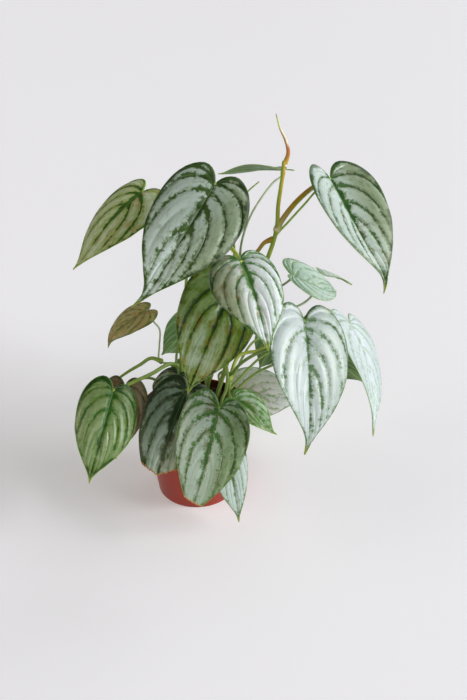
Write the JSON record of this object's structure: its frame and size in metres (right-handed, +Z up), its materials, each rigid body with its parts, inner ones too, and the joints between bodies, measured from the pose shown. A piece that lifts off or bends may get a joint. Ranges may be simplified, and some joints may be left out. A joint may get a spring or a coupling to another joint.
{
  "type": "potted satin pothos",
  "caption": "Bushy climbing houseplant with hanging silver-marked heart-shaped leaves on thin petioles, in a small plain nursery pot filled with soil.",
  "frame": {"origin": "centre of the pot's flat base, on the surface that the pot stands on", "axes": "+Z up out of the pot, -Y towards the pictured front, +X to the right of that view"},
  "size_m": [0.247, 0.2709, 0.3075],
  "materials": {
    "pot_plastic": "thin terracotta-red plastic, satin to glossy",
    "potting_mix": "damp bark and peat mix, matt",
    "stem_olive": "smooth olive to brown stem, satin",
    "stem_green": "smooth yellow-green petioles, satin",
    "leaf_silver": "silver leaf with green veins, satin",
    "leaf_green": "green leaf with silver fields, satin",
    "leaf_olive": "olive leaf with silver fields, satin",
    "leaf_bronze": "bronze old leaf, satin",
    "leaf_dark": "dark green leaf with grey-silver fields, satin"
  },
  "bodies": {
    "root": {"pot": "pot_plastic", "soil": "potting_mix", "vine_main": "stem_olive", "vine_front": "stem_green", "vine_left": "stem_green", "vine_back": "stem_green", "vine_low_left": "stem_green", "vine_low_front": "stem_green", "vine_low_right": "stem_green", "leaf_upper_left": "leaf_olive", "leaf_upper_large": "leaf_green", "leaf_top_back": "leaf_green", "leaf_upper_right": "leaf_green", "leaf_centre": "leaf_silver", "leaf_centre_left": "leaf_olive", "leaf_bronze_left": "leaf_bronze", "leaf_behind_left": "leaf_green", "leaf_right": "leaf_silver", "leaf_far_right": "leaf_silver", "leaf_behind_right": "leaf_green", "leaf_back_right": "leaf_silver", "leaf_back_far": "leaf_silver", "leaf_lower_left": "leaf_green", "leaf_bronze_low": "leaf_bronze", "leaf_torn": "leaf_dark", "leaf_front_cut": "leaf_green", "leaf_low_right": "leaf_silver", "leaf_small_right": "leaf_green", "leaf_pot_right": "leaf_silver", "leaf_low_inner": "leaf_dark", "leaf_inner_right": "leaf_silver", "leaf_rear_top": "leaf_silver", "leaf_rear_middle": "leaf_green", "leaf_rear_right": "leaf_green", "leaf_rear_low": "leaf_silver"}
  },
  "joints": []
}
